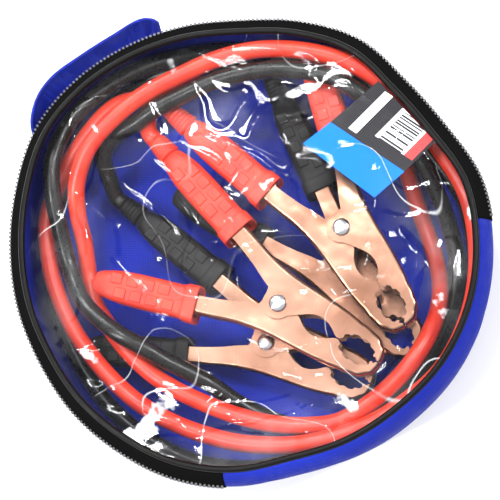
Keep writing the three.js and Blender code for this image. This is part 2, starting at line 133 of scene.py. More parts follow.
def armPoint(distance, aside, side=1):
    splay = math.radians(clampSize["splay"])
    x = -clampSize["mouthBack"] - distance * math.cos(splay) + aside * math.sin(splay)
    y = clampSize["mouthOut"] + distance * math.sin(splay) + aside * math.cos(splay)
    return Vector((x, y * side, 0)) * mm


def clampMatrix(letter):
    clamp = clamps[letter]
    return Matrix.Translation(Vector(clamp["at"]) * mm) @ Matrix.Rotation(math.radians(clamp["axis"]), 4, "Z")


def cableEnd(letter):
    side = clamps[letter]["cable"]
    start = clampSize["gripLength"] + clampSize["reliefLength"] + 2 * clampSize["gap"]
    return [clampMatrix(letter) @ armPoint(start + d, 0, side) for d in (0, 5)]


def centreline(points, step):
    ends = [points[0] * 2 - points[1]] + points + [points[-1] * 2 - points[-2]]
    line = []
    for i in range(1, len(ends) - 2):
        p0, p1, p2, p3 = ends[i - 1:i + 3]
        t0 = 0
        t1 = t0 + max((p1 - p0).length, 1e-9) ** 0.5
        t2 = t1 + max((p2 - p1).length, 1e-9) ** 0.5
        t3 = t2 + max((p3 - p2).length, 1e-9) ** 0.5
        count = max(2, round((p2 - p1).length / step))
        for k in range(count):
            t = t1 + (t2 - t1) * k / count
            a1 = p0 * (t1 - t) / (t1 - t0) + p1 * (t - t0) / (t1 - t0)
            a2 = p1 * (t2 - t) / (t2 - t1) + p2 * (t - t1) / (t2 - t1)
            a3 = p2 * (t3 - t) / (t3 - t2) + p3 * (t - t2) / (t3 - t2)
            b1 = a1 * (t2 - t) / (t2 - t0) + a2 * (t - t0) / (t2 - t0)
            b2 = a2 * (t3 - t) / (t3 - t1) + a3 * (t - t1) / (t3 - t1)
            line.append(b1 * (t2 - t) / (t2 - t1) + b2 * (t - t1) / (t2 - t1))
    line.append(points[-1])
    return line


def grid(rows, closed=False, wrap=False):
    vertices = [v for row in rows for v in row]
    width = len(rows[0])
    faces = []
    for i in range(len(rows) if wrap else len(rows) - 1):
        for k in range(width if closed else width - 1):
            j = (i + 1) % len(rows)
            m = (k + 1) % width
            faces.append((i * width + k, i * width + m, j * width + m, j * width + k))
    return vertices, faces


def heading(line, i):
    return (line[min(i + 1, len(line) - 1)] - line[max(i - 1, 0)]).normalized()


def ring(middle, side, up, radius, count):
    turns = [2 * math.pi * k / count for k in range(count)]
    return [middle + (side * math.cos(a) + up * math.sin(a)) * radius for a in turns]


def makeLead(name, fromClamp, points, toClamp):
    line = centreline(cableEnd(fromClamp) + points + cableEnd(toClamp)[::-1], cable["step"])
    sides = cable["sides"]
    side = Vector((0, 0, 1)).cross(line[1] - line[0]).normalized()
    rows = []
    for i, middle in enumerate(line):
        along = heading(line, i)
        side = (side - along * side.dot(along)).normalized()
        rows.append(ring(middle, side, along.cross(side), cable["diameter"] / 2, sides))
    vertices, faces = grid(rows, closed=True)
    faces.append(tuple(reversed(range(sides))))
    faces.append(tuple(range(len(vertices) - sides, len(vertices))))
    data = bpy.data.meshes.new(name)
    data.from_pydata([tuple(v) for v in vertices], [], faces)
    data.shade_smooth()
    lead = bpy.data.objects.new(f"{name}_tube", data)
    bpy.context.collection.objects.link(lead)
    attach(lead, "case")
    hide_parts(name)
    length = sum((b - a).length for a, b in zip(line, line[1:]))
    print(name, round(length, 3))
    return lead


redLead = makeLead("lead_red", "a", free(redStart) + polar(redCoil) + free(redEnd), "b")
blackLead = makeLead("lead_black", "c", free(blackStart) + polar(blackCoil) + free(blackEnd), "d")
print("leads laid")


# Shader maths: a socket that adds, multiplies and compares
class Value:
    def __init__(self, tree, socket):
        self.tree = tree
        self.socket = socket

    def math(self, operation, *others):
        node = self.tree.nodes.new("ShaderNodeMath")
        node.operation = operation
        for entry, other in zip(node.inputs, (self, *others)):
            feed(self.tree, entry, other)
        return Value(self.tree, node.outputs[0])

    def __add__(self, other):
        return self.math("ADD", other)

    def __sub__(self, other):
        return self.math("SUBTRACT", other)

    def __mul__(self, other):
        return self.math("MULTIPLY", other)

    def sine(self):
        return self.math("SINE")

    def size(self):
        return self.math("ABSOLUTE")

    def above(self, other):
        return self.math("GREATER_THAN", other)

    def below(self, other):
        return self.math("LESS_THAN", other)

    def ramp(self, low, high, toLow=0.0, toHigh=1.0):
        node = self.tree.nodes.new("ShaderNodeMapRange")
        keys = ("Value", "From Min", "From Max", "To Min", "To Max")
        for key, value in zip(keys, (self, low, high, toLow, toHigh)):
            feed(self.tree, node.inputs[key], value)
        return Value(self.tree, node.outputs[0])


def feed(tree, entry, value):
    if isinstance(value, Value):
        tree.links.new(value.socket, entry)
    elif isinstance(value, (tuple, list)) and len(value) == 3 and entry.type == "RGBA":
        entry.default_value = (*value, 1)
    else:
        entry.default_value = value


class Surface:
    def __init__(self, name, color, roughness, metallic=0.0):
        self.material = bpy.data.materials.new(name)
        self.material.use_nodes = True
        self.tree = self.material.node_tree
        self.shader = self.tree.nodes["Principled BSDF"]
        self.material.diffuse_color = (*color, 1)
        self.set("Base Color", color)
        self.set("Roughness", roughness)
        self.set("Metallic", metallic)

    def dull(self, level):
        self.shader.inputs["Specular IOR Level"].default_value = level

    def set(self, name, value):
        feed(self.tree, self.shader.inputs[name], value)

    def place(self):
        node = self.tree.nodes.new("ShaderNodeTexCoord")
        return Value(self.tree, node.outputs["Object"])

    def shifted(self, amount):
        node = self.tree.nodes.new("ShaderNodeVectorMath")
        feed(self.tree, node.inputs[0], self.place())
        node.inputs[1].default_value = (amount, amount * 0.7, 0)
        return Value(self.tree, node.outputs[0])

    def axes(self):
        return self.split(self.place())

    def attribute(self, name):
        node = self.tree.nodes.new("ShaderNodeAttribute")
        node.attribute_name = name
        return Value(self.tree, node.outputs["Vector"])

    def split(self, vector):
        node = self.tree.nodes.new("ShaderNodeSeparateXYZ")
        feed(self.tree, node.inputs[0], vector)
        return [Value(self.tree, out) for out in node.outputs]

    def noise(self, scale, detail=2.0, rough=0.5, vector=None):
        node = self.tree.nodes.new("ShaderNodeTexNoise")
        feed(self.tree, node.inputs["Vector"], vector or self.place())
        node.inputs["Scale"].default_value = scale
        node.inputs["Detail"].default_value = detail
        node.inputs["Roughness"].default_value = rough
        return Value(self.tree, node.outputs["Fac"])

    def mix(self, factor, first, second):
        node = self.tree.nodes.new("ShaderNodeMix")
        node.data_type = "RGBA"
        feed(self.tree, node.inputs[0], factor)
        feed(self.tree, node.inputs[6], first)
        feed(self.tree, node.inputs[7], second)
        return Value(self.tree, node.outputs[2])

    def bump(self, height, distance, strength):
        node = self.tree.nodes.new("ShaderNodeBump")
        node.inputs["Distance"].default_value = distance
        node.inputs["Strength"].default_value = strength
        feed(self.tree, node.inputs["Height"], height)
        self.set("Normal", Value(self.tree, node.outputs[0]))


def plasticSurface(name, color, dark, roughness, shine=0.5):
    surface = Surface(name, color, roughness)
    surface.dull(shine)
    broad = surface.noise(90, 3)
    surface.set("Base Color", surface.mix(broad.ramp(0.35, 0.7), color, dark))
    surface.set("Roughness", surface.noise(260, 2).ramp(0.3, 0.7, roughness - 0.06, roughness + 0.1))
    surface.bump(surface.noise(900, 2), 0.06 * mm, 0.4)
    return surface.material


def copperSurface():
    surface = Surface("pale copper", (0.84, 0.53, 0.36), 0.3, metallic=1.0)
    cloud = surface.noise(22, 3, 0.5)
    surface.set("Base Color", surface.mix(cloud.ramp(0.3, 0.7), (0.62, 0.35, 0.245), (0.25, 0.115, 0.07)))
    surface.set("Roughness", surface.noise(60, 2).ramp(0.3, 0.7, 0.2, 0.32))
    surface.bump(surface.noise(60, 2, 0.4), 1.6 * mm, 0.6)
    return surface.material


def nylonSurface(name, color, dark, shine, outerWallShade=1.0):
    surface = Surface(name, color, 0.72)
    surface.dull(shine)
    x, y, z = surface.axes()
    threads = 5200
    weave = (x * threads).sine() * (y * threads).sine() + (z * threads).sine()
    tone = surface.mix(surface.noise(55, 4).ramp(0.3, 0.75), color, dark)
    # Painted shade: from 94 to 104 mm out from the middle the colour turns to the dark tone times the outer
    # wall shade, darkening the outer wall as shade would.
    wall = (x * x + y * y).math("SQRT").ramp(0.094, 0.104)
    tone = surface.mix(wall, tone, tuple(channel * outerWallShade for channel in dark))
    surface.set("Base Color", tone)
    surface.set("Roughness", surface.noise(150, 2).ramp(0.3, 0.7, 0.6, 0.82))
    surface.bump(weave, 0.08 * mm, 0.5)
    return surface.material


def webbingSurface(name, color, dark, pitch):
    surface = Surface(name, color, 0.6)
    u, v = surface.split(surface.attribute("strand"))[:2]
    rate = 6283
    ribs = (v * (rate / pitch)).sine()
    picks = (u * (rate / (pitch * 0.7))).sine()
    # Painted shade: the colour darkens to the dark tone in the grooves between ribs and picks, where the bump
    # is low.
    surface.set("Base Color", surface.mix((ribs + picks * 0.5).ramp(-1.3, 1.3), dark, color))
    surface.bump(ribs + picks * 0.4, 0.15 * mm, 0.8)
    return surface.material


def vinylSurface():
    surface = Surface("clear vinyl", (0.96, 0.97, 1.0), 0.07, metallic=1.0)
    tree = surface.tree
    clear = tree.nodes.new("ShaderNodeBsdfTransparent")
    clear.inputs[0].default_value = (0.985, 0.99, 1.0, 1)
    mix = tree.nodes.new("ShaderNodeMixShader")
    # Painted highlights and reflections: the mix below turns the clear sheet into a white mirror along noise
    # streaks (stronger towards the rim), in the painted glare patches and in a painted grey haze. Only the
    # 0.012 is the sheet's own even gloss.
    paintedGlare, paintedHaze = surface.split(surface.attribute("strand"))[:2]
    thin = surface.noise(16, 1.2, 0.4)
    wide = surface.noise(10, 1.6, 0.4, surface.shifted(3.7))
    paintedStreaks = (thin - 0.5).size().ramp(0.0, 0.0032, 1, 0) * surface.noise(30, 2).ramp(0.42, 0.54)
    breaks = surface.noise(22, 2, 0.5, surface.shifted(1.3)).ramp(0.45, 0.56)
    paintedStreaks = paintedStreaks + (wide - 0.52).size().ramp(0.0, 0.0024, 1, 0) * breaks
    glarePatches = (paintedGlare + surface.noise(75, 3, 0.6)).ramp(1.02, 1.1)
    x, y = surface.axes()[:2]
    outward = (x * x + y * y).math("SQRT").ramp(0.03, 0.075, 0.25, 1)
    paintedHazeReflection = paintedHaze * surface.noise(26, 4, 0.6).ramp(0.4, 0.7, 0.0, 0.15)
    cover = paintedStreaks * outward * 0.6 + glarePatches * 0.85 + paintedHazeReflection + 0.012
    feed(tree, mix.inputs[0], cover.ramp(0, 0.9, 0, 0.9))
    tree.links.new(clear.outputs[0], mix.inputs[1])
    tree.links.new(surface.shader.outputs[0], mix.inputs[2])
    tree.links.new(mix.outputs[0], tree.nodes["Material Output"].inputs["Surface"])
    surface.set("Roughness", surface.noise(40, 3).ramp(0.35, 0.7, 0.03, 0.09))
    surface.bump(surface.noise(45, 2, 0.4), 0.4 * mm, 0.35)
    return surface.material


def steelSurface():
    surface = Surface("bright zinc", (0.74, 0.75, 0.77), 0.25, metallic=1.0)
    surface.set("Roughness", surface.noise(300, 3).ramp(0.3, 0.7, 0.16, 0.34))
    return surface.material


def cardSurface():
    surface = Surface("printed card", (0.05, 0.048, 0.055), 0.5)
    surface.dull(0.15)
    u, v = surface.split(surface.attribute("strand"))[:2]
    dark = (0.02, 0.019, 0.022)
    blue = (0.0, 0.17, 0.72)
    white = (0.85, 0.86, 0.88)
    red = (0.75, 0.06, 0.06)
    tone = surface.mix(v.below(0), dark, blue)
    tone = surface.mix(u.above(0.17) * u.below(0.28) * v.above(0.08) * v.below(0.93), tone, white)
    label = v.above(0.22) * v.below(0.86)
    bars = ((v * 118).sine() + (v * 53).sine() * 0.8).above(0.0) * u.above(0.5) * u.below(0.8)
    tone = surface.mix(label * u.above(0.45) * u.below(0.84), tone, white)
    tone = surface.mix(label * bars, tone, dark)
    tone = surface.mix(label * u.above(0.84) * u.below(0.95), tone, red)
    surface.set("Base Color", tone)
    return surface.material


red = (0.77, 0.05, 0.022)
redDark = (0.62, 0.028, 0.014)
looks = {
    # Blue nylon's last argument, 0.7, is the painted shade on its outer wall.
    "nylon": nylonSurface("blue nylon", (0.014, 0.036, 0.52), (0.009, 0.023, 0.38), 0.15, 0.7),
    # Blue webbing's second colour is the painted shade in its grooves.
    "webbing": webbingSurface("blue webbing", (0.008, 0.05, 0.8), (0.002, 0.012, 0.34), 1.5),
    "zip_tape": nylonSurface("black tape", (0.004, 0.004, 0.004), (0.006, 0.006, 0.006), 0.0),
    "zip_teeth": plasticSurface("zip teeth", (0.1, 0.1, 0.105), (0.06, 0.06, 0.062), 0.25, 0.4),
    "piping": plasticSurface("piping", (0.006, 0.006, 0.006), (0.004, 0.004, 0.004), 0.35, 0.12),
    "clear_vinyl": vinylSurface(),
    "card": cardSurface(),
    "coppered_steel": copperSurface(),
    "bright_steel": steelSurface(),
    "red_grip": plasticSurface("red grip", red, redDark, 0.5),
    "black_grip": plasticSurface("black grip", (0.012, 0.012, 0.012), (0.007, 0.007, 0.007), 0.5, 0.25),
    "red_cable": plasticSurface("red cable", red, redDark, 0.34),
    "black_cable": plasticSurface("black cable", (0.011, 0.011, 0.01), (0.007, 0.007, 0.006), 0.28, 0.4),
}
for lead, key in ((redLead, "red_cable"), (blackLead, "black_cable")):
    lead.data.materials.append(looks[key])
print("materials made")


def piece(name, vertices, faces, look, body, replaced, smooth=True, strand=None):
    data = bpy.data.meshes.new(name)
    data.from_pydata([tuple(v) for v in vertices], [], faces)
    data.validate()
    tidy = bmesh.new()
    tidy.from_mesh(data)
    bmesh.ops.recalc_face_normals(tidy, faces=tidy.faces)
    tidy.to_mesh(data)
    tidy.free()
    data.materials.append(looks[look])
    if strand:
        layer = data.attributes.new("strand", "FLOAT_VECTOR", "POINT")
        for i, value in enumerate(strand):
            layer.data[i].vector = value
    for polygon in data.polygons:
        polygon.use_smooth = smooth
    item = bpy.data.objects.new(name, data)
    bpy.context.collection.objects.link(item)
    if body:
        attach(item, body)
    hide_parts(*replaced)
    return item


def capEnds(vertices, faces, width):
    faces.append(tuple(range(width)))
    faces.append(tuple(range(len(vertices) - width, len(vertices))))


def closeStack(faces, base):
    for ring in (0, 4):
        for k in range(4):
            m = (k + 1) % 4
            faces.append((base + ring + k, base + ring + m, base + ring + 4 + m, base + ring + 4 + k))
    faces.append((base, base + 1, base + 2, base + 3))
    faces.append((base + 8, base + 9, base + 10, base + 11))


def modify(item, kind, **settings):
    modifier = item.modifiers.new(kind.lower(), kind)
    for key, value in settings.items():
        setattr(modifier, key, value)
    return modifier


# Case outline: its radius in mm every 15 degrees, counter-clockwise from +X
rimRadii = [
    105, 108, 106.5, 104.5, 106, 108, 110, 110.5, 107.5, 105.5, 104.5, 103.7,
    104.5, 105, 106, 105.5, 103.5, 105.5, 107.5, 110.5, 112, 112, 111, 106,
]
case = {
    "wallTop": 44.5, "tapeWidth": 4.2, "chain": 1.5, "piping": 1.5, "pipingInset": 7.5, "hinge": -70,
    "steps": 288, "toothPitch": 1.9, "bend": 6, "innerBend": 4.5, "foot": 6.8, "lining": 1.4, "floor": 1.5,
    "bulge": 19.6,
}


def rim(degrees):
    turn = (degrees % 360) / 15
    i = int(turn)
    f = turn - i
    p = [rimRadii[(i + k) % 24] for k in (-1, 0, 1, 2)]
    return 0.5 * (
        2 * p[1] + (p[2] - p[0]) * f + (2 * p[0] - 5 * p[1] + 4 * p[2] - p[3]) * f * f
        + (3 * p[1] - p[0] - 3 * p[2] + p[3]) * f ** 3
    )


def rimPoint(degrees, inset, z):
    return onCircle(degrees, rim(degrees) - inset, z)


def hingeAngles(inset):
    def crossing(low, high):
        for _ in range(40):
            middle = (low + high) / 2
            inside = rimPoint(middle, inset, 0).y / mm < case["hinge"]
            if inside == (rimPoint(low, inset, 0).y / mm < case["hinge"]):
                low = middle
            else:
                high = middle
        return low
    return crossing(180, 270), crossing(270, 360)


hingeFrom, hingeTo = hingeAngles(2)


def wobble(degrees, z):
    size, scale = 0.7, 0.05
    x = math.cos(math.radians(degrees)) * 100
    y = math.sin(math.radians(degrees)) * 100
    return size * noise.noise(Vector((x, y, z * 1.4)) * scale)


def makeTray():
    def corner(radius, angles):
        turns = [math.radians(a) for a in angles]
        return [(case["foot"] - radius * math.sin(a), case["bend"] - radius * math.cos(a)) for a in turns]

    bulge = case["bulge"]
    outer = corner(case["bend"], range(0, 91, 15))
    outer += [(0.5 - 0.5 * i / 4, case["bend"] + (bulge - case["bend"]) * i / 4) for i in range(1, 5)]
    outer += [(0.1 * i, bulge + (case["wallTop"] - bulge) * i / 6) for i in range(1, 7)]
    top = outer[-1]
    inner = [(top[0] + 0.2, top[1] + 0.1), (top[0] + 1.1, top[1])]
    inner += [(inset + case["lining"], z) for inset, z in outer[-2:6:-1]]
    inner += corner(case["innerBend"], range(90, -1, -15))
    profile = outer + inner
    rows = []
    for i in range(case["steps"]):
        angle = 360 * i / case["steps"]
        row = []
        for inset, z in profile:
            share = min(1, max(0, (z - 4) / 10)) * min(1, max(0, (44 - z) / 6))
            row.append(rimPoint(angle, inset + share * (0.35 + wobble(angle, z)), z))
        rows.append(row)
    vertices, faces = grid(rows, wrap=True)
    width = len(profile)
    for ring, bottom in ((0, 0.0), (width - 1, case["floor"])):
        previous = [i * width + ring for i in range(case["steps"])]
        for share in (0.85, 0.7, 0.55, 0.4, 0.25, 0.1):
            current = []
            for i in range(case["steps"]):
                p = rimPoint(360 * i / case["steps"], case["foot"], bottom)
                x, y = p.x * share, p.y * share
                lift = 0.35 * (noise.noise(Vector((x, y, 0)) * 45) + 0.6) * mm if bottom else 0
                current.append(len(vertices))
                vertices.append(Vector((x, y, bottom * mm + lift)))
            for i in range(case["steps"]):
                j = (i + 1) % case["steps"]
                faces.append((previous[i], previous[j], current[j], current[i]))
            previous = current
        faces.append(tuple(previous))
    piece("case_shell", vertices, faces, "nylon", "case", ["case_tray"])


def band(name, profile, look, body, replaced, start, stop, closedRing=False):
    stepDegrees = 1.25
    count = round((stop - start) / stepDegrees)
    rows = []
    for i in range(count if closedRing else count + 1):
        angle = start + (stop - start) * i / count
        rows.append([rimPoint(angle, inset, z) for inset, z in profile])
    vertices, faces = grid(rows, closed=True, wrap=closedRing)
    if not closedRing:
        capEnds(vertices, faces, len(profile))
    return piece(name, vertices, faces, look, body, replaced)


def roundProfile(inset, z, radius, count):
    turns = [2 * math.pi * i / count for i in range(count)]
    return [(inset - radius * math.cos(a), z + radius * math.sin(a)) for a in turns]


chainMiddle = case["wallTop"] + 0.3 + case["tapeWidth"] * 0.25 + case["chain"]
zipFrom, zipTo = hingeTo - 360, hingeFrom


def teeth(name, z, lean, body, replaced):
    length = case["toothPitch"] * 0.25 * lean
    marks = []
    last = None
    steps = 4000
    for i in range(steps + 1):
        angle = zipFrom + 0.4 + (zipTo - zipFrom - 0.8) * i / steps
        here = rimPoint(angle, 0, z)
        if last is not None:
            length += (here - last).length / mm
            if length >= case["toothPitch"]:
                marks.append(angle)
                length = 0
        last = here
    half = 0.48
    top = 1.8 if lean > 0 else 0.8
    shape = [(-half, -0.8), (-half, top), (half, top), (half, -0.8)]
    vertices = []
    faces = []
    for angle in marks:
        base = len(vertices)
        out = Vector((math.cos(math.radians(angle)), math.sin(math.radians(angle)), 0))
        side = Vector((-out.y, out.x, 0))
        for inset, share in ((1.0, 1), (-0.55, 1), (-0.9, 0.6)):
            centre = rimPoint(angle, inset, z)
            for a, b in shape:
                up = Vector((0, 0, b * share + lean * 0.1))
                vertices.append(centre + (side * a * share + up) * mm)
        closeStack(faces, base)
    piece(name, vertices, faces, "zip_teeth", body, replaced, smooth=False)


# Sections of the bands round the rim, as [distance inside the rim, height] in mm
tapeProfile = [(0.1, 44.8), (-0.5, 45.5), (0.2, 46.9), (2.4, 46.9), (2.2, 44.8)]
bandProfile = [
    (-0.4, 48.4), (0.9, 50.6), (2.9, 53.4), (5.0, 55.9), (6.3, 56.6), (6.4, 56.1), (5.3, 55.2),
    (3.6, 52.8), (1.8, 49.8), (0.9, 48.3),
]
hingeProfile = [
    (0.1, 44.6), (0.0, 47.5), (1.0, 50.4), (2.9, 53.4), (5.0, 55.9), (6.3, 56.6), (6.4, 56.1),
    (5.5, 55.2), (4.0, 52.8), (2.2, 49.8), (1.2, 47.5), (1.3, 44.6),
]
makeTray()
band("zip_tape_case_side", tapeProfile, "zip_tape", "case", ["zip_tape_lower"], zipFrom, zipTo)
band("zip_tape_lid_side", bandProfile, "zip_tape", "lid", ["zip_tape_upper"], zipFrom, zipTo)
teeth("zip_teeth_case_side", chainMiddle - 0.8, -1, "case", ["zip_teeth_lower"])
teeth("zip_teeth_lid_side", chainMiddle + 0.6, 1, "lid", ["zip_teeth_upper"])
band("hinge_side_band", hingeProfile, "nylon", "case", ["hinge_band"], hingeFrom, hingeTo)
piping = band("piping_ring", roundProfile(case["pipingInset"], 56.5, case["piping"], 12), "piping", None,
              ["piping_lid", "piping_hinge"], 0, 360, closedRing=True)
print("case sewn")


# Creases in the vinyl: points in mm, width and height of the crest
creases = [
    {"line": [(-27, 84), (-2, 92), (22, 84)], "width": 1.93, "height": 0.78},
    {"line": [(-70, -14), (-52, -46), (-28, -62)], "width": 2.75, "height": 0.9},
    {"line": [(-80, -22), (-66, -44), (-48, -62), (-30, -72)], "width": 1.76, "height": 0.72},
    {"line": [(2, -62), (-20, -58)], "width": 2.48, "height": 0.96},
    {"line": [(88, -30), (78, -52)], "width": 1.93, "height": 0.78},
    {"line": [(56, -44), (48, -66), (30, -70)], "width": 2.2, "height": 0.78},
    {"line": [(22, 36), (14, 4), (2, -14)], "width": 1.32, "height": 0.6},
    {"line": [(-44, 42), (-42, 12), (-58, -8)], "width": 1.43, "height": 0.66},
    {"line": [(-8, 72), (-34, 66), (-60, 44)], "width": 1.65, "height": 0.66},
    {"line": [(34, 62), (28, 30), (40, 4)], "width": 1.32, "height": 0.54},
    {"line": [(-30, -78), (10, -84), (40, -80)], "width": 1.65, "height": 0.72},
    {"line": [(0, 30), (-24, 10), (-30, -16)], "width": 1.21, "height": 0.54},
    {"line": [(60, 40), (78, 22), (84, -4)], "width": 1.65, "height": 0.6},
    {"line": [(-84, 30), (-76, 4), (-82, -14)], "width": 1.65, "height": 0.66},
    {"line": [(10, -30), (30, -44), (60, -34)], "width": 1.43, "height": 0.54},
]


# Painted glare on the vinyl, where its mix turns to mirror: middle, half length and half width in mm,
# direction in degrees; painted grey haze reflection if not white, painted white highlight if white
glare = [
    {"at": (-84, -29), "long": 26, "wide": 9, "turn": 5, "share": 0.7, "white": True},
    {"at": (-15, -81), "long": 15, "wide": 6, "turn": 100, "share": 0.62, "white": True},
    {"at": (83, -62), "long": 12, "wide": 4, "turn": 45, "share": 0.6, "white": True},
    {"at": (69, 28), "long": 24, "wide": 4, "turn": -30, "share": 0.6, "white": True},
    {"at": (42, -83), "long": 12, "wide": 7, "turn": 60, "share": 0.6, "white": True},
    {"at": (-81, 12), "long": 12, "wide": 5, "turn": -70, "share": 0.62, "white": True},
    {"at": (52, 34), "long": 50, "wide": 14, "turn": -35, "share": 0.9, "white": False},
    {"at": (-55, 52), "long": 44, "wide": 12, "turn": 40, "share": 0.8, "white": False},
    {"at": (-36, -78), "long": 50, "wide": 12, "turn": 150, "share": 0.8, "white": False},
    {"at": (53, -78), "long": 40, "wide": 12, "turn": 80, "share": 0.9, "white": False},
    {"at": (14, 5), "long": 40, "wide": 24, "turn": 30, "share": 0.6, "white": False},
]


def creaseHeight(x, y):
    total = 0
    for crease in creases:
        best = 1e9
        along = 0
        line = crease["line"]
        for i in range(len(line) - 1):
            (ax, ay), (bx, by) = line[i], line[i + 1]
            dx, dy = bx - ax, by - ay
            t = ((x - ax) * dx + (y - ay) * dy) / (dx * dx + dy * dy)
            t = min(1, max(0, t))
            away = math.hypot(x - ax - dx * t, y - ay - dy * t)
            if away < best:
                best = away
                along = (i + t) / (len(line) - 1)
        if best < crease["width"] * 2:
            crest = max(0, 1 - best / (crease["width"] * 2)) ** 2.2
            total += crease["height"] * crest * math.sin(math.pi * min(1, max(0, along))) ** 0.5
    return total


def windowHeight(x, y):
    here = Vector((x, y, 0))
    warp = Vector((noise.noise(here * 0.05), noise.noise(here * 0.05 + Vector((7, 3, 1))), 0)) * 9
    moved = here + warp
    swell = noise.noise(here * 0.026) * 1.0
    fold = noise.noise(moved * 0.06 + Vector((3, 0, 5)))
    sharp = max(1 - abs(fold) * 3, 0) ** 2
    return swell + 0.55 * sharp + creaseHeight(moved.x, moved.y)


def glareAt(x, y):
    values = [0, 0, 0]
    for spot in glare:
        cx, cy = spot["at"]
        turn = math.radians(spot["turn"])
        u = ((x - cx) * math.cos(turn) + (y - cy) * math.sin(turn)) / spot["long"]
        v = ((y - cy) * math.cos(turn) - (x - cx) * math.sin(turn)) / spot["wide"]
        kind = 0 if spot["white"] else 1
        values[kind] = max(values[kind], math.exp(-(u * u + v * v)) * spot["share"])
    return tuple(values)


def makeWindow():
    rings, spokes = 130, 320
    seam, lift = 56.7, 0.7
    rows = []
    for i in range(rings):
        share = 1 - i / rings
        calm = min(1, (1 - share) * 12)
        row = []
        for k in range(spokes):
            edge = rimPoint(360 * k / spokes, case["pipingInset"] + 0.6, 0) / mm
            x, y = edge.x * share, edge.y * share
            row.append(Vector((x, y, seam + lift * calm + calm * windowHeight(x, y))) * mm)
        rows.append(row)
    vertices, faces = grid(rows, closed=True)
    vertices.append(Vector((0, 0, seam + lift + windowHeight(0, 0))) * mm)
    last = (rings - 1) * spokes
    for k in range(spokes):
        faces.append((last + k, last + (k + 1) % spokes, len(vertices) - 1))
    # Painted glare per vertex: the white highlight share and the grey haze reflection share, kept in the
    # strand attribute.
    shine = [glareAt(p.x / mm, p.y / mm) for p in vertices]
    replaced = ["window_lid", "window_hinge"]
    return piece("vinyl_window", vertices, faces, "clear_vinyl", None, replaced, strand=shine)


window = makeWindow()
for item in (window, piping):
    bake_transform(item)
print("window laid")


def makeCard():
    corners = [(95.6, 6.8), (68, 9), (52.4, 11), (57.2, -28.9), (75, -30.2), (93, -30.5)]
    low, high = 55.65, 55.95
    vertices = [Vector((x, y, z)) * mm for z in (low, high) for x, y in corners]
    count = len(corners)
    faces = [tuple(range(count))[::-1], tuple(range(count, 2 * count))]
    faces += [(k, (k + 1) % count, (k + 1) % count + count, k + count) for k in range(count)]
    left, top, long, wide, slant = 68, 8, 39, 27, 0.17
    layout = [((top - y) / long, (x - left - (top - y) * slant) / wide, 0) for x, y in corners]
    piece("print_card", vertices, faces, "card", "lid", ["insert_card"], smooth=False, strand=layout * 2)


makeCard()


# Carry loop: its lower and its upper edge, as points in mm
loopStations = [
    [-31, 105.8, 24, -31, 107, 43],
    [-25, 110, 24.5, -27, 112.5, 44.5],
    [-15, 113, 25, -18, 118.3, 45.6],
    [-4, 114, 25, -6, 120.5, 46],
    [10, 113.6, 25, 12, 117.5, 46],
    [25, 110.5, 25, 28, 113.8, 45.6],
    [36, 107, 25, 42, 109.8, 45.5],
    [41, 103.4, 24.5, 46, 106, 44.5],
    [43.5, 101.6, 24.5, 47, 103, 43.5],
]


def makeLoop():
    low = centreline([Vector(s[:3]) for s in loopStations], 1.2)
    high = centreline([Vector(s[3:]) for s in loopStations], 1.2)
    count = min(len(low), len(high), 72)

    def pick(line, i):
        return line[round(i * (len(line) - 1) / (count - 1))]

    section = [
        (0, 0), (0.02, -0.15), (0.98, -0.15), (1, 0), (1, -1.3), (0.98, -1.45), (0.02, -1.45), (0, -1.3),
    ]
    rows = []
    strand = []
    length = 0
    for i in range(count):
        a, b = pick(low, i), pick(high, i)
        if i:
            length += (a - pick(low, i - 1)).length
        before, after = pick(low, max(i - 1, 0)), pick(low, min(i + 1, count - 1))
        along = (after - before).normalized()
        out = along.cross((b - a).normalized()).normalized()
        row = []
        for share, depth in section:
            row.append((a.lerp(b, share) + out * depth) * mm)
            strand.append((length, share * (b - a).length, 0))
        rows.append(row)
    vertices, faces = grid(rows, closed=True)
    capEnds(vertices, faces, len(section))
    piece("webbing_loop", vertices, faces, "webbing", "case", ["carry_loop"], strand=strand)


makeLoop()
print("card and loop made")


# Jaw halves: outlines in mm with the rivet at the origin and the jaws towards +X
def smoothed(points, rounds=2):
    for _ in range(rounds):
        cut = [points[0]]
        for a, b in zip(points, points[1:]):
            cut += [
                (a[0] * 0.75 + b[0] * 0.25, a[1] * 0.75 + b[1] * 0.25),
                (a[0] * 0.25 + b[0] * 0.75, a[1] * 0.25 + b[1] * 0.75),
            ]
        points = cut + [points[-1]]
    return points


def armMm(distance, aside):
    p = armPoint(distance, aside) / mm
    return (p.x, p.y)


def jawOutline():
    outer = smoothed([
        armMm(14, 4), armMm(4, 4), (-22, 20.2), (-13, 17), (-3, 14.9), (8, 13.9), (24, 13.4), (33, 12.3),
    ])
    for i in range(25):
        share = i / 24
        angle = math.radians(90 * share)
        ridge = 0.25 * math.sin(share * 6 * math.pi) * math.sin(math.pi * share)
        outer.append((37 + (15.6 + ridge) * math.sin(angle), 0.4 + (11.1 + ridge) * math.cos(angle) ** 0.8))
    lens = [
        (30.6, 0.2), (29.2, 0.6), (26.5, 2.6), (22.5, 4.4), (18.5, 4.5), (14.5, 2.9), (12, 1), (10.6, 0.2),
    ]
    lobe = [(7 * math.cos(math.radians(a)), 7 * math.sin(math.radians(a))) for a in range(336, 154, -14)]
    back = [(-7.4, 4.2), (-12.5, 6.4), (-20, 10.2), armMm(0, -4), armMm(14, -4)]
    nose = [(50.8, 0.3), (49.6, 1.6)]
    for i in range(31):
        share = i / 30
        angle = math.radians(180 * share)
        lump = 0.75 * max(0, math.sin(share * 9 * math.pi)) ** 0.7
        nose.append((40.6 + (8.4 - lump) * math.cos(angle), 0.9 + (5.0 - lump) * math.sin(angle)))
    nose += [(31.8, 0.4)]
    return outer, nose + smoothed(lens) + lobe + smoothed(back, 1)


def channelHeight(side):
    return clampSize["outerHeight"] if side > 0 else clampSize["innerHeight"]


def bodyOf(letter, role):
    return "case" if role == "fixed" else f"clamp_{letter}_moving_half"


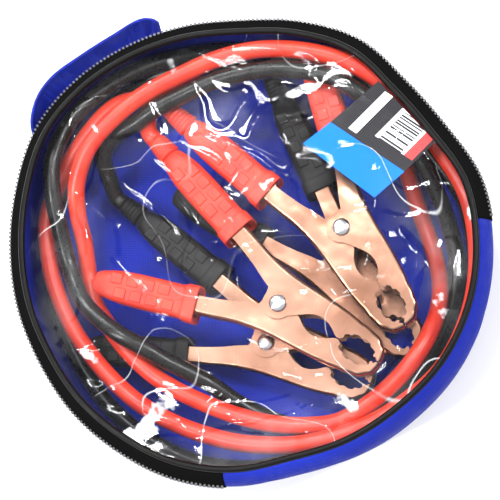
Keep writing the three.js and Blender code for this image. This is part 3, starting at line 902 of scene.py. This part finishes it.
def makeJaw(letter, side, role):
    thickness = clampSize["sheet"]
    level = channelHeight(side) / 2 - thickness / 2
    outer, inner = jawOutline()
    shrink = thickness / 2
    path = []
    for i, (x, y) in enumerate(outer):
        ax, ay = outer[max(i - 1, 0)]
        bx, by = outer[min(i + 1, len(outer) - 1)]
        length = math.hypot(bx - ax, by - ay) or 1
        path.append((x + (by - ay) / length * shrink, y - (bx - ax) / length * shrink))
    loop = path + inner
    place = clampMatrix(letter)
    vertices = []
    for z in (level, -level):
        vertices += [place @ (Vector((x, y * side, z)) * mm) for x, y in loop]
    count = len(loop)
    faces = [tuple(range(count)), tuple(range(count, 2 * count))[::-1]]
    rowsBetween = []
    for z in (level * 0.5, 0, -level * 0.5):
        rowsBetween.append(len(vertices))
        vertices += [place @ (Vector((x, y * side, z)) * mm) for x, y in path]
    starts = [0] + rowsBetween + [count]
    for a, b in zip(starts, starts[1:]):
        for i in range(len(path) - 1):
            faces.append((a + i, a + i + 1, b + i + 1, b + i))
    jaw = piece(f"{letter}_jaw_{role}", vertices, faces, "coppered_steel", bodyOf(letter, role),
                [f"clamp_{letter}_jaw_{role}"])
    corner = math.radians(50)
    modify(jaw, "BEVEL", width=1.3 * mm, segments=3, limit_method="ANGLE", angle_limit=corner)
    modify(jaw, "SOLIDIFY", thickness=thickness * mm, offset=0)
    rimBevel = modify(jaw, "BEVEL", width=0.22 * mm, segments=2, limit_method="ANGLE", angle_limit=corner)
    rimBevel.name = "rim"
    modify(jaw, "WEIGHTED_NORMAL", keep_sharp=True)


# Grips: their rounded section, and the raised pads on both faces
pad = {"rows": 4, "first": 10, "pitch": 7.6, "long": 5.6, "shift": 3, "near": 0.7, "far": 5.6}
sectionCount = 40


def superLoop(halfWide, halfHigh, power):
    loop = []
    for i in range(sectionCount):
        angle = 2 * math.pi * i / sectionCount
        c, s = math.cos(angle), math.sin(angle)
        loop.append((
            halfWide * math.copysign(abs(c) ** (2 / power), c),
            halfHigh * math.copysign(abs(s) ** (2 / power), s),
        ))
    return loop


def gripLook(letter):
    return "red_grip" if letter < "c" else "black_grip"


def makeGrip(letter, side, role):
    inside = channelHeight(side) + 0.6
    high = inside / 2 + 1.6
    place = clampMatrix(letter)
    stations = [
        (7, 5.4, high - 2.3, 5), (1, 5.8, high - 2.2, 5), (0.1, 7.9, high - 0.8, 5), (0, 8.4, high - 0.4, 5),
        (0.5, 8.8, high - 0.1, 5), (5.2, 8.7, high - 0.15, 5), (6.1, 8.4, high - 0.5, 5),
        (7.0, 7.9, high - 1.2, 4.5), (9, 7.7, high - 1.25, 4.5), (17, 7.8, high - 1.2, 4.5),
        (28, 7.8, high - 1.2, 4.5), (37, 7.5, high - 1.3, 4), (41.5, 6.9, high - 1.7, 3.6),
        (45, 6.2, high - 2.6, 3), (48, 5.5, high - 4, 2.6), (49.6, 4.6, min(high - 5, 5.2), 2.2),
        (clampSize["gripLength"], 3.5, 4.0, 2),
    ]
    rows = []
    for distance, wide, tall, power in stations:
        row = []
        for a, b in superLoop(wide, tall, power):
            p = armPoint(distance, a)
            row.append(place @ Vector((p.x, p.y * side, b * mm)))
        rows.append(row)
    vertices, faces = grid(rows, closed=True)
    capEnds(vertices, faces, sectionCount)
    pads = []
    for face in (1, -1):
        for i in range(pad["rows"]):
            start = pad["first"] + i * pad["pitch"]
            pads.append((start, pad["near"], pad["far"], face))
            pads.append((start + pad["shift"], -pad["far"], -pad["near"], face))
    for start, left, right, face in pads:
        stop = start + pad["long"]
        base = len(vertices)
        top = (high - 0.7) * face
        foot = (high - 2.2) * face
        for level, ease in ((foot, 0), (top - 0.35 * face, 0.1), (top, 0.5)):
            d0, d1 = start + ease, stop - ease
            a0, a1 = left + ease, right - ease
            for d, a in ((d0, a0), (d1, a0), (d1, a1), (d0, a1)):
                p = armPoint(d, a)
                vertices.append(place @ Vector((p.x, p.y * side, level * mm)))
        closeStack(faces, base)
    grip = piece(f"{letter}_grip_{role}", vertices, faces, gripLook(letter), bodyOf(letter, role),
                 [f"clamp_{letter}_grip_{role}"])
    modify(grip, "BEVEL", width=0.45 * mm, segments=3, limit_method="ANGLE", angle_limit=math.radians(55))
    modify(grip, "WEIGHTED_NORMAL", keep_sharp=True)


def turnedPiece(name, profile, place, look, body, replaced, count=32):
    turns = [2 * math.pi * k / count for k in range(count)]
    rows = [
        [place @ (Vector((radius * math.cos(a), radius * math.sin(a), z)) * mm) for a in turns]
        for radius, z in profile
    ]
    vertices, faces = grid(rows, closed=True)
    capEnds(vertices, faces, count)
    piece(name, vertices, faces, look, body, replaced)


# Rivet: the head's profile above the cheek, half the length under the heads, and the shank's radius
rivet = {
    "head": [(3.9, 0), (3.95, 0.25), (3.7, 0.75), (3.1, 1.2), (2.2, 1.55), (1.1, 1.75), (0.2, 1.8)],
    "under": 9.3, "shank": 2.2,
}
relief = {"ribs": 5, "pitch": 1.95, "radius": 5.5, "taper": 0.22, "groove": 0.45, "end": 10.3}
spring = {"turns": 5, "steps": 20, "radius": 3.7, "wire": 0.45, "sides": 8, "height": 10.4}


def makeRivet(letter):
    under, shank = rivet["under"], rivet["shank"]
    profile = [(r, -under - z) for r, z in reversed(rivet["head"])]
    profile += [(shank, -under), (shank, under)] + [(r, under + z) for r, z in rivet["head"]]
    turnedPiece(f"{letter}_rivet", profile, clampMatrix(letter), "bright_steel", "case",
                [f"clamp_{letter}_rivet"])


def makeRelief(letter):
    side = clamps[letter]["cable"]
    place = clampMatrix(letter)
    start = place @ armPoint(clampSize["gripLength"] + 0.1, 0, side)
    stop = place @ armPoint(clampSize["gripLength"] + clampSize["reliefLength"], 0, side)
    way = (stop - start).normalized()
    frameOf = Matrix.Translation(start) @ way.to_track_quat("Z", "Y").to_matrix().to_4x4()
    profile = [(4.6, 0)]
    for i in range(relief["ribs"]):
        z = 0.5 + i * relief["pitch"]
        radius = relief["radius"] - relief["taper"] * i
        low = radius - relief["groove"]
        profile += [(low, z), (radius, z + 0.3), (radius, z + 1.05), (low, z + 1.35)]
    profile.append((4.2, relief["end"]))
    turnedPiece(f"{letter}_relief", profile, frameOf, gripLook(letter), "case",
                [f"clamp_{letter}_relief"], 28)


def makeSpring(letter):
    place = clampMatrix(letter)
    steps, radius, wire, sides = (spring[key] for key in ("steps", "radius", "wire", "sides"))
    count = spring["turns"] * steps
    line = []
    for i in range(count + 1):
        angle = 2 * math.pi * i / steps
        rise = spring["height"] * (i / count - 0.5)
        line.append(Vector((radius * math.cos(angle), radius * math.sin(angle), rise)))
    rows = []
    for i, p in enumerate(line):
        side = Vector((p.x, p.y, 0)).normalized()
        rows.append([place @ (q * mm) for q in ring(p, side, heading(line, i).cross(side), wire, sides)])
    vertices, faces = grid(rows, closed=True)
    capEnds(vertices, faces, sides)
    piece(f"{letter}_spring", vertices, faces, "bright_steel", "case", [f"clamp_{letter}_spring"])


for letter, clamp in clamps.items():
    for side in (1, -1):
        role = "fixed" if side == clamp["cable"] else "moving"
        makeJaw(letter, side, role)
        makeGrip(letter, side, role)
    makeRivet(letter)
    makeRelief(letter)
    makeSpring(letter)
print("clamps made")


def makeStage():
    data = bpy.data.meshes.new("floor")
    size = 4
    corners = [(-size, -size, 0), (size, -size, 0), (size, size, 0), (-size, size, 0)]
    data.from_pydata(corners, [], [(0, 1, 2, 3)])
    surface = Surface("pale floor", (0.9, 0.9, 0.9), 0.9)
    data.materials.append(surface.material)
    floor = bpy.data.objects.new("floor", data)
    bpy.context.collection.objects.link(floor)
    floor.location.z = -0.0002


def softbox(name, place, target, size, power):
    data = bpy.data.lights.new(name, "AREA")
    data.shape = "RECTANGLE"
    data.size, data.size_y = size
    data.energy = power
    lamp = bpy.data.objects.new(name, data)
    lamp.location = place
    lamp.rotation_euler = (Vector(target) - Vector(place)).to_track_quat("-Z", "Y").to_euler()
    bpy.context.collection.objects.link(lamp)


makeStage()
lamps = {
    "left box": {"place": (-0.75, 0.15, 1.0), "size": (0.05, 0.9), "power": 12},
    "right box": {"place": (0.7, -0.35, 1.0), "size": (0.05, 0.8), "power": 10},
    "far box": {"place": (0.1, 0.95, 0.9), "size": (0.9, 0.05), "power": 10},
    "high box": {"place": (0.35, 0.5, 1.5), "size": (0.2, 0.2), "power": 8},
    "top box": {"place": (-0.1, 0.2, 1.6), "size": (1.3, 1.3), "power": 6},
}
for name, lamp in lamps.items():
    softbox(name, lamp["place"], (0, 0, 0.03), lamp["size"], lamp["power"])
world = bpy.data.worlds.new("studio")
world.use_nodes = True
world.node_tree.nodes["Background"].inputs[0].default_value = (1, 1, 1, 1)
world.node_tree.nodes["Background"].inputs[1].default_value = 0.66
bpy.context.scene.world = world
bpy.context.scene.view_settings.view_transform = "Standard"
print("stage lit")
